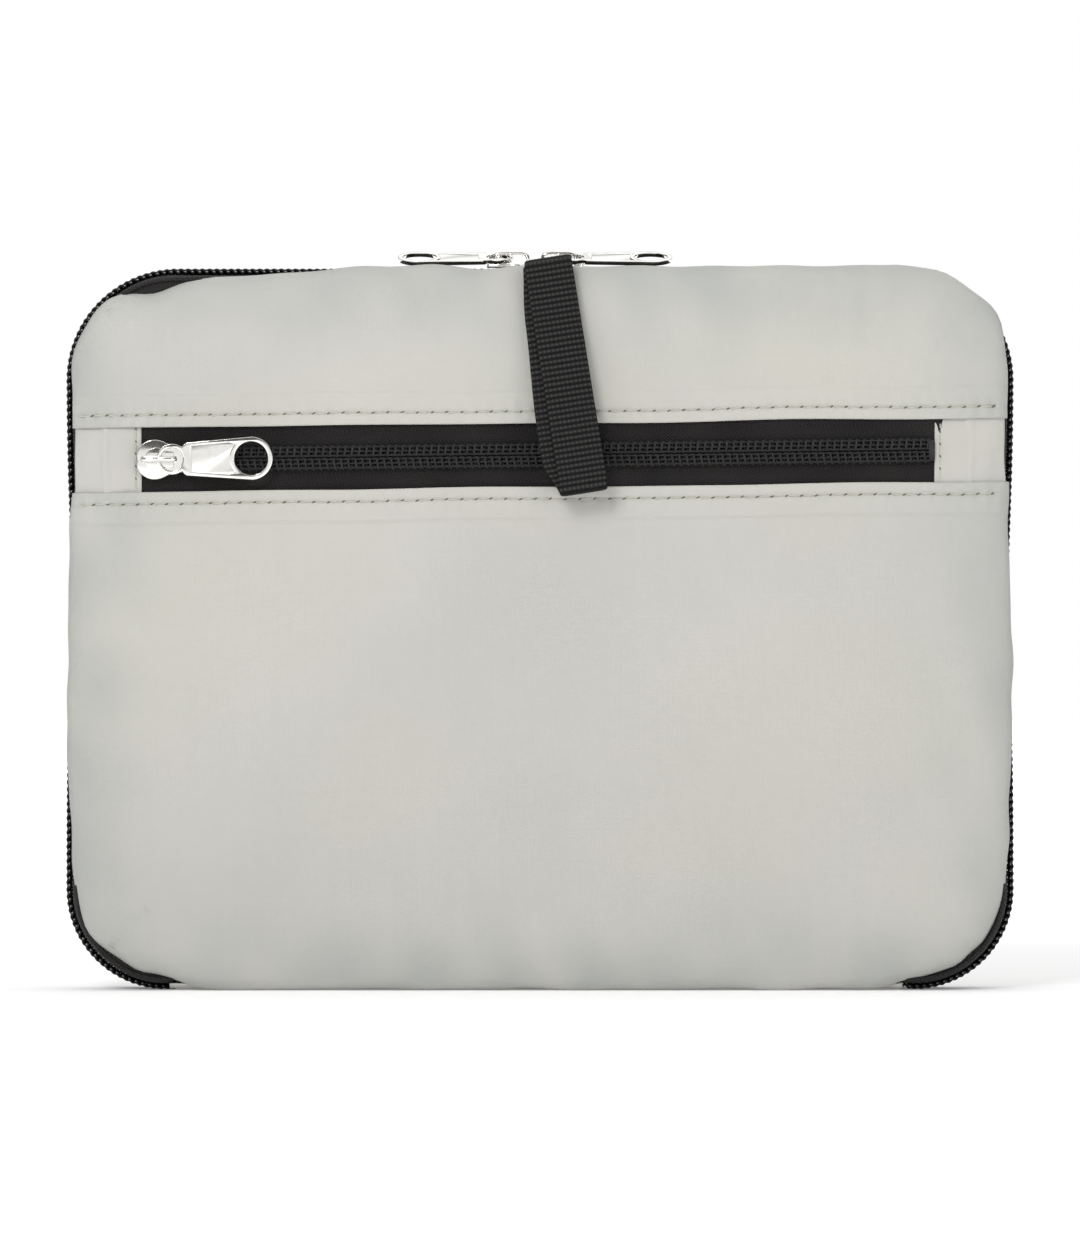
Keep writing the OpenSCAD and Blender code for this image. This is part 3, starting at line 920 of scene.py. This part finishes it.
def perimeter_zip():
    """Each half's tape, seam binding and coil row, all round but for the hinge."""
    outer = [(0.3, 1.5), (3.2, 1.55), (6.5, 1.75), (SEAM_Y - 0.6, 2.1), (SEAM_Y + 1.4, 2.9)]
    inner = [(y, inset + 0.45) for y, inset in outer[::-1]]
    rim = ((-0.9, 2.7), (0.9, 2.7), (1.1, 4.6), (0.9, 6.4), (-0.9, 6.4), (-1.1, 4.6))
    fold = [(SEAM_Y + y, inset) for y, inset in rim]

    def place(s, across, out):
        return edge_place(s, across, 1.45 - out * 0.92)

    for side, body, prefix in ((-1, "front_half", "front"), (1, "back_half", "back")):
        profile = [(side * y, inset) for y, inset in outer + inner][::side]
        binding = [(side * y, inset) for y, inset in fold][::-side]
        tape_node, binding_node = f"{prefix}_zip_tape", f"{prefix}_seam_binding"
        edge_strip(f"{prefix}_tape", profile, EDGE_TAPE, body, "zip_tape", tape_node, 0.15, 5 + side)
        edge_strip(f"{prefix}_binding", binding, BINDING, body, "binding", binding_node, 0.2, 9)
        coil_turns(place, PATH_S[-1] - 1, side, f"{prefix}_coil", body, "zip_coil", f"{prefix}_zip_coil")
        edge_dots(f"{prefix}_edge_dots", side, body)


def edge_dots(name, side, body):
    """Stitches along the coil's outer shoulder, coloured pale as a painted highlight for the glint of thread
    over each coil turn.
    """
    s = np.arange(1.0, PATH_S[-1] - 1, COIL_PITCH)
    shoulder, inset = side * 3.12, 0.72
    ahead = unit(edge_place(s + 0.3, shoulder, inset) - edge_place(s - 0.3, shoulder, inset))
    outward = np.array([0, float(side), 0])
    vertices, faces = stitch_row(edge_place(s, shoulder, inset), ahead, outward, 0.8, 0.19)
    finish_piece(add_mesh(name, vertices, faces, PALE_GLINT_THREAD), body, "zip_tape")


def zip_tack(name, x, node):
    """A dense bar tack of thread across the two tapes at one end of the zip."""
    vertices, faces = [], []
    threads, pitch = 7, 0.25
    for i in range(threads):
        y = np.linspace(-3.2, 3.2, 16)
        z = 0.5 + 0.28 * (1 - (y / 3.4) ** 4) + 0.05 * (i % 2)
        line = xyz(np.full_like(y, x + (i - (threads - 1) / 2) * pitch), y, z)
        v, f = tube_along(line, 0.17, 6)
        faces += [tuple(k + len(vertices) for k in face) for face in f]
        vertices += v.tolist()
    finish_piece(add_mesh(name, vertices, faces, COIL_THREAD), "back_half", "binding", node)


# ---- metal parts


def outline_solid(name, loops, z0, z1, bevel):
    """A plate of closed outlines, holes among them, with rounded edges."""
    curve = bpy.data.curves.new(name, "CURVE")
    curve.dimensions = "2D"
    curve.fill_mode = "BOTH"
    for points in loops:
        spline = curve.splines.new("POLY")
        spline.points.add(len(points) - 1)
        for point, (x, y) in zip(spline.points, points):
            point.co = (x, y, 0, 1)
        spline.use_cyclic_u = True
    curve.extrude = (z1 - z0) / 2 - bevel
    curve.bevel_depth = bevel
    curve.bevel_resolution = 3
    curve.offset = -bevel
    obj = bpy.data.objects.new(name, curve)
    obj.location = (0, 0, (z0 + z1) / 2)
    bpy.context.scene.collection.objects.link(obj)
    bpy.context.view_layer.update()
    mesh = bpy.data.meshes.new_from_object(obj.evaluated_get(bpy.context.evaluated_depsgraph_get()))
    mesh.transform(obj.matrix_world)
    bpy.data.objects.remove(obj)
    solid = bpy.data.objects.new(name, mesh)
    bpy.context.scene.collection.objects.link(solid)
    work = bmesh.new()
    work.from_mesh(mesh)
    bmesh.ops.remove_doubles(work, verts=work.verts, dist=1e-4)
    bmesh.ops.recalc_face_normals(work, faces=work.faces)
    work.to_mesh(mesh)
    work.free()
    mesh.materials.clear()
    mesh.materials.append(NICKEL)
    return solid


def circle_points(cx, cy, r, a0=0.0, a1=360.0, count=48):
    """Points of a circle, or of an arc of it from one angle to another, in degrees."""
    full = abs(a1 - a0) >= 360
    turn = np.radians(np.linspace(a0, a1, count, endpoint=not full))
    return [(cx + r * math.cos(a), cy + r * math.sin(a)) for a in turn]


def heart_outline(scale=1.0):
    """The slider's plate: two shoulders at the nose, narrowing to the tail."""
    upper = [(-5.3, 0.0), (-5.45, 1.5), (-5.0, 2.9), (-3.9, 4.1), (-2.3, 4.85), (-0.6, 4.95), (0.9, 4.6),
             (2.3, 3.95), (3.8, 3.5), (5.4, 3.35), (6.1, 3.0), (6.2, 2.2)]
    points = smooth_line(upper, 40)
    lower = [(x, -y) for x, y in points[::-1][:-1]]
    return [(x * scale, y * scale) for x, y in points + lower]


def smooth_line(points, count):
    """A Catmull-Rom curve through points."""
    p = np.array([points[0], *points, points[-1]], float)
    result = []
    for t in np.linspace(0, len(points) - 1 - 1e-6, count):
        i, f = int(t), t - int(t)
        a, b, c, d = p[i], p[i + 1], p[i + 2], p[i + 3]
        v = 0.5 * (2 * b + (c - a) * f + (2 * a - 5 * b + 4 * c - d) * f**2 + (3 * b - a - 3 * c + d) * f**3)
        result.append(tuple(float(k) for k in v))
    return result


def bridge():
    """The arch over the slider that the puller's eye runs under."""
    near_half = [(-4.1, 0.6), (-4.15, 2.4), (-3.7, 3.7), (-2.4, 4.1)]
    arch = near_half + [(0, 4.12)] + [(-x, z) for x, z in near_half[::-1]]
    route = np.array([(x, 0, z) for x, z in smooth_line(arch, 44)])
    tangent = unit(np.gradient(route, axis=0))
    side = np.tile([0, 1.0, 0], (len(route), 1))
    up = np.cross(tangent, side)
    turn = np.linspace(0, 2 * math.pi, 24, endpoint=False)
    oval = np.stack([0.75 * np.cos(turn), 0.5 * np.sin(turn)], -1)
    section = np.tile(oval, (len(route), 1, 1))
    obj = sweep(route, side, up, section, "bridge", NICKEL)
    obj.data.transform(Matrix.Diagonal((1 / MM, 1 / MM, 1 / MM, 1)))
    return obj


def smooth_metal(obj):
    """Shades a cast part smooth but for its edges."""
    obj.data.polygons.foreach_set("use_smooth", [True] * len(obj.data.polygons))
    obj.data.set_sharp_from_angle(angle=math.radians(20))
    return obj


def slider_mesh(name, flanges):
    """A slider in its own frame: nose towards -x, and a flange down each side that's asked for."""
    heart = heart_outline()
    parts = [
        outline_solid("plate", [heart], 0.3, 1.2, 0.28),
        outline_solid("under", [heart], -3.4, -2.4, 0.25),
        outline_solid("crown", [heart_outline(0.6)], 0.9, 1.3, 0.18),
        outline_solid("post", [[(-4.7, -0.12), (-4.1, -0.1), (-4.1, 0.1), (-4.7, 0.12)]], -2.9, 1.0, 0.03),
        bridge(),
    ]
    for side in flanges:
        inner, outer = sorted((side * 4.0, side * 4.55))
        flange = [(-2.4, inner), (0.8, inner), (0.8, outer), (-2.4, outer)]
        parts.append(outline_solid("flange", [flange], -0.9, 1.0, 0.12))
    return smooth_metal(join(parts, name))


PULLER_EYE_X = 3.35
PULLER_END_X = 23.1
PULLER_END_R = 5.4


def puller_outline():
    """Outer edge of the puller: a round eye, square shoulders and a wider round end."""
    eye = circle_points(PULLER_EYE_X, 0, 3.85, 50, 310, 40)
    shoulder = [(6.4, -3.75), (7.0, -4.12)]
    end = circle_points(PULLER_END_X, 0, PULLER_END_R, -86, 86, 40)
    return eye + shoulder + end + [(x, -y) for x, y in shoulder[::-1]]


def puller_panel(inset):
    """The sunken panel between the eye and the end hole."""
    near, far = 8.3 + inset, 17.6 - inset * 0.4
    low, high = 3.25 - inset, 3.95 - inset
    bite = circle_points(PULLER_END_X, 0, PULLER_END_R - 0.05 + inset, 180 + 42, 180 - 42, 18)
    return [(near, -low), (far, -high)] + bite + [(far, high), (near, low)]


def puller_mesh(name):
    """A puller in its slider's frame: a raised rim round a thinner panel, and two holes."""
    z0, z1 = PIVOT_Z - 0.6, PIVOT_Z + 0.6
    holes = [circle_points(PULLER_EYE_X, 0, 2.85), circle_points(PULLER_END_X, 0, 4.2)]
    parts = [
        outline_solid("rim", [puller_outline(), *holes, puller_panel(0)], z0, z1, 0.22),
        outline_solid("panel", [puller_panel(-0.35)], z0 + 0.28, z1 - 0.28, 0.05),
    ]
    return smooth_metal(join(parts, name))


def stand(obj, origin, axes, body, node):
    """Moves a part drawn in the slider's own frame, in millimetres, to its place in metres."""
    turn = Matrix([[axis[i] for axis in axes] + [origin[i]] for i in range(3)] + [[0, 0, 0, 1]])
    obj.data.transform(Matrix.Scale(MM, 4) @ turn)
    obj.data.update()
    finish_piece(obj, body, "nickel", node)


def metalwork():
    """The three sliders and their pullers, each on its own body."""
    axes = np.array([ALONG_X, 0, ALONG_Z]), np.array([-ALONG_Z, 0, ALONG_X]), OUTWARD
    origin = POCKET_PIVOT - OUTWARD * PIVOT_Z
    stand(slider_mesh("pocket_slider_body", (1, -1)), origin, axes, "pocket_slide_body", "pocket_slider")
    stand(puller_mesh("pocket_pull_tab"), origin, axes, "pocket_pull_body", "pocket_puller")
    for side, prefix in ((-1, "left"), (1, "right")):
        joint = JOINTS[f"{prefix}_pull"]
        pivot = np.array(joint["pos_m"]) / MM
        along, across, up = np.array([side, 0, 0.0]), np.array([0, side, 0.0]), np.array([0, 0, 1.0])
        slider = slider_mesh(f"{prefix}_slider_body", (side,))
        axes = along, across, up
        stand(slider, pivot - up * PIVOT_Z, axes, f"{prefix}_slide_body", f"{prefix}_slider")
        hinge = -np.array(joint["axis"])
        tilted = np.cross(along, hinge)
        puller = puller_mesh(f"{prefix}_pull_tab")
        axes = along, hinge, tilted
        stand(puller, pivot - tilted * PIVOT_Z, axes, f"{prefix}_pull_body", f"{prefix}_puller")


# ---- webbing


def ribbed_strap(name, centres, across, outward, width, thickness, material, pitch=1.4):
    """A flat strap swept along centres, with raised cross ribs and rounded selvedges."""
    s = length_along(centres)
    columns = np.linspace(-1, 1, max(21, int(width / 0.27)))
    rib = np.abs(np.cos(math.pi * s / pitch)) ** 0.9
    yarn_pitch = 1.1
    yarn = 0.5 + 0.5 * np.cos(columns * width / 2 / yarn_pitch * 2 * math.pi)
    half = thickness / 2
    edge = np.sqrt(np.clip(1 - np.abs(columns) ** 10, 0.05, 1))
    top = (half - 0.36 + 0.30 * rib[:, None] + 0.06 * yarn[None, :] * rib[:, None]) * edge[None, :]
    loop_u = np.concatenate([columns, columns[::-1]]) * width / 2
    loop_v = np.concatenate([top, -top[:, ::-1]], 1)
    section = np.stack([np.broadcast_to(loop_u, loop_v.shape), loop_v], -1)
    obj = sweep(centres, across, outward, section, name, material)
    ribs, yarns = np.repeat(rib, len(columns) * 2), np.tile(np.append(yarn, yarn[::-1]), len(s))
    for key, values in (("rib", ribs), ("yarn", yarns)):
        obj.data.attributes.new(key, "FLOAT", "POINT").data.foreach_set("value", values)
    return obj


def resample(points, step):
    """The same line, with its points evenly spaced."""
    points = np.asarray(points, float)
    s = length_along(points)
    even = np.linspace(0, s[-1], int(s[-1] / step))
    return np.stack([np.interp(even, s, points[:, i]) for i in range(points.shape[1])], -1)


def hang_loop():
    """The doubled loop: out of the top seam, over the edge and down in front, then back up behind itself."""
    lean_y, lean_z = -math.sin(LOOP_LEAN), -math.cos(LOOP_LEAN)
    y0, z0 = LOOP_PIVOT[1], LOOP_PIVOT[2]
    gap = 0.72  # from the middle of the two layers to each layer's own middle

    def down(length, offset):
        """(y, z) that far down the hanging part, offset towards the front."""
        return (y0 + lean_y * length + offset * lean_z, z0 + lean_z * length)

    front = [(-8.6, 178.4), (-9.6, 180.6), (-11.4, 182.3), (-14.0, 182.9), (y0 - 0.2, 182.4), down(2.2, gap)]
    front += [down(d, gap) for d in np.linspace(6, LOOP_L - 3, 14)]
    turn = [down(LOOP_L - 1.2, gap * 0.9), down(LOOP_L - 0.4, 0), down(LOOP_L - 1.2, -gap * 0.9)]
    back = [down(d, -gap) for d in np.linspace(LOOP_L - 3, 6, 14)]
    back += [down(2.6, -gap), (y0 + 1.3, 180.9), (-13.6, 181.5)]
    back += [(-11.6, 180.9), (-10.2, 179.6), (-9.4, 178.2)]
    path = resample(smooth_line(front + turn + back, 700), 0.175)
    s = np.linspace(0, 1, len(path))
    hang = np.clip((z0 - path[:, 1]) / math.cos(LOOP_LEAN), 0, None)
    behind = ramp(s, 0.49, 0.52)
    # The layer behind hangs a little to the left of the one in front, and meets it at the turn
    spread = 0.6 * ramp(hang, -5, 15) + 0.4 * ramp(hang, 12, 42)
    drift = -3.4 * spread * (1 - ramp(hang, 49, 59)) * behind
    x = LOOP_PIVOT[0] + hang * math.tan(LOOP_TILT) + drift
    centres = xyz(x, path[:, 0], path[:, 1])
    tangent = unit(np.gradient(centres, axis=0))
    tilted = np.array([math.cos(LOOP_TILT), 0, math.sin(LOOP_TILT)])
    level = np.array([1.0, 0, 0])
    share = ramp(np.minimum(s, 1 - s), 0, 0.05)[:, None]
    across = unit(level * (1 - share) + tilted * share)
    outward = unit(np.cross(across, tangent))
    obj = ribbed_strap("hang_loop_webbing", centres, across, outward, LOOP_W - 0.1, WEBBING_T, LOOP_TAPE)
    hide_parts("hang_loop", "loop_root")
    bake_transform(obj)


def handle(name, node, body):
    """A tote handle of wide webbing, folded flat in two."""
    half_l, width, z_middle = 74.0, 25.0, 72.5
    low, high = box_mm(node)
    gap, middle = (high[1] - low[1]) / 4, (low[1] + high[1]) / 2
    fold_x, fold_r = half_l - 2, 1.6
    turn = np.radians(np.linspace(-90, 90, 13))
    near = [(x, middle - gap) for x in np.linspace(-half_l, fold_x, 60)]
    bend = [(fold_x + fold_r * math.cos(a), middle + gap * math.sin(a)) for a in turn]
    far = [(x, middle + gap) for x in np.linspace(fold_x, -half_l, 60)]
    path = resample(near + bend + far, 0.23)
    centres = xyz(path[:, 0], path[:, 1], z_middle + 0.5 * np.sin(path[:, 0] / 30))
    across = np.tile([0, 0, 1.0], (len(path), 1))
    outward = np.cross(across, unit(np.gradient(centres, axis=0)))
    obj = ribbed_strap(name, centres, across, outward, width, gap * 1.9, HANDLE_TAPE, 1.5)
    finish_piece(obj, body, "handle_webbing", node)


# ---- folded tote


def folded_cloth(name, node, layers, body, seed):
    """Layers of the tote, folded into a flat stack: each layer is a soft closed slab."""
    low, high = box_mm(node)
    depth = (high[1] - low[1]) / layers
    vertices, faces = [], []
    nx, nz = 100, 76
    u, v = np.meshgrid(np.linspace(-1, 1, nx), np.linspace(-1, 1, nz))
    inset = 1.8
    for layer in range(layers):
        shift = np.random.default_rng(seed + layer).uniform(-1.6, 1.6, 4)
        x0, x1 = low[0] + inset + shift[0], high[0] - inset + shift[1]
        z0, z1 = low[2] + inset + shift[2], high[2] - inset + shift[3]
        corner = 1 - 0.045 * (np.abs(u) * np.abs(v)) ** 6
        x = (x0 + x1) / 2 + (x1 - x0) / 2 * u * corner
        z = (z0 + z1) / 2 + (z1 - z0) / 2 * v * corner
        x = x + 0.8 * ripple(z, layer, 45, seed + 9) * np.abs(u) ** 5
        rim = np.minimum((x1 - x0) / 2 * (1 - np.abs(u)), (z1 - z0) / 2 * (1 - np.abs(v)))
        puff = np.sqrt(1 - (1 - np.clip(rim / 3.2, 0, 1)) ** 2)
        middle = low[1] + depth * (layer + 0.5)
        crumple = 0.16 * depth * (ripple(x, z, 26, seed + 2 * layer) + 0.6 * ripple(x, z, 9, seed + 3))
        half = depth * 0.36 * (0.12 + 0.88 * puff)
        for sign in (-1, 1):
            start = len(vertices)
            y = middle + sign * half + crumple * puff
            vertices += xyz(x, y, z).reshape(-1, 3).tolist()
            quads = grid_faces(nz, nx, start)
            faces += quads if sign < 0 else [q[::-1] for q in quads]
        front = len(vertices) - 2 * nx * nz
        back = front + nx * nz
        border = list(range(nx)) + [i * nx + nx - 1 for i in range(1, nz)]
        border += [(nz - 1) * nx + j for j in range(nx - 2, -1, -1)] + [i * nx for i in range(nz - 2, 0, -1)]
        for a, b in zip(border, border[1:] + border[:1]):
            faces.append((front + b, front + a, back + a, back + b))
    obj = add_mesh(name, vertices, faces, TOTE)
    finish_piece(obj, body, "tote_fabric", node)


def tote_spine():
    """The fold of cloth that joins the back stack to the middle one along their bottom edges."""
    back, middle = box_mm("tote_back_folds")[0], box_mm("tote_middle_folds")
    half_l = 92
    x, t = np.meshgrid(np.linspace(-half_l, half_l, 120), np.linspace(0, 1, 24))
    y0, y1 = back[1] + 0.7, (middle[0][1] + middle[1][1]) / 2
    y = y0 + (y1 - y0) * t
    sag = 3.6 + 0.6 * ripple(x, t, 40, 300)
    z = back[2] + 3.0 - sag * np.sin(math.pi * t) - 1.0 * t * (1 - t)
    obj = add_grid("tote_spine_cloth", xyz(x, y, z), TOTE)
    thicken(obj, 0.4)
    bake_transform(obj)


def mouth_hem():
    """The hem band along the tote's mouth, folded into the middle layer."""
    low, high = box_mm("tote_mouth_hem")
    x, z = np.meshgrid(np.linspace(low[0], high[0], 160), np.linspace(low[2], high[2], 20))
    rim = np.minimum(z - low[2], high[2] - z)
    y = (low[1] + high[1]) / 2 - 0.15 * ramp(rim, 0, 1.2) + 0.1 * ripple(x, z, 12, 101)
    y = y + 0.12 * bell(rim - 1.8, 0.5)
    obj = add_grid("tote_hem_band", xyz(x, y, z), TOTE)
    finish_sheet(obj, 0.5, "tote_flap", "tote_fabric", "tote_mouth_hem")


# ---- build


make_camera()
make_stage()
front_panel("front_cloth_above", 1, "upper_front_panel")
front_panel("front_cloth_below", -1, "lower_front_panel")
end_tab("left_tab_cloth", -HALF_W + 2.0, WINDOW_LEFT, "left_end_tab", -109.0)
end_tab("right_tab_cloth", WINDOW_RIGHT, HALF_W - 2.0, "right_end_tab", 108.0)
back_panel()
bottom_gusset()
topstitch()
pocket_zip()
pocket_lining()
perimeter_zip()
zip_tack("left_end_tack", HINGE_LEFT - TACK_ROOM / 2, "left_zip_tack")
zip_tack("right_end_tack", HINGE_RIGHT + TACK_ROOM / 2, "right_zip_tack")
metalwork()
hang_loop()
folded_cloth("tote_layers_behind", "tote_back_folds", 6, "back_half", 200)
folded_cloth("tote_layers_middle", "tote_middle_folds", 2, "tote_flap", 220)
folded_cloth("tote_layers_front", "tote_front_folds", 4, "front_half", 240)
mouth_hem()
tote_spine()
handle("front_handle_strap", "tote_front_handle", "tote_flap")
handle("back_handle_strap", "tote_back_handle", "back_half")

frame["nodes"]["pocket_end_stops"].data.materials.clear()
frame["nodes"]["pocket_end_stops"].data.materials.append(COIL)
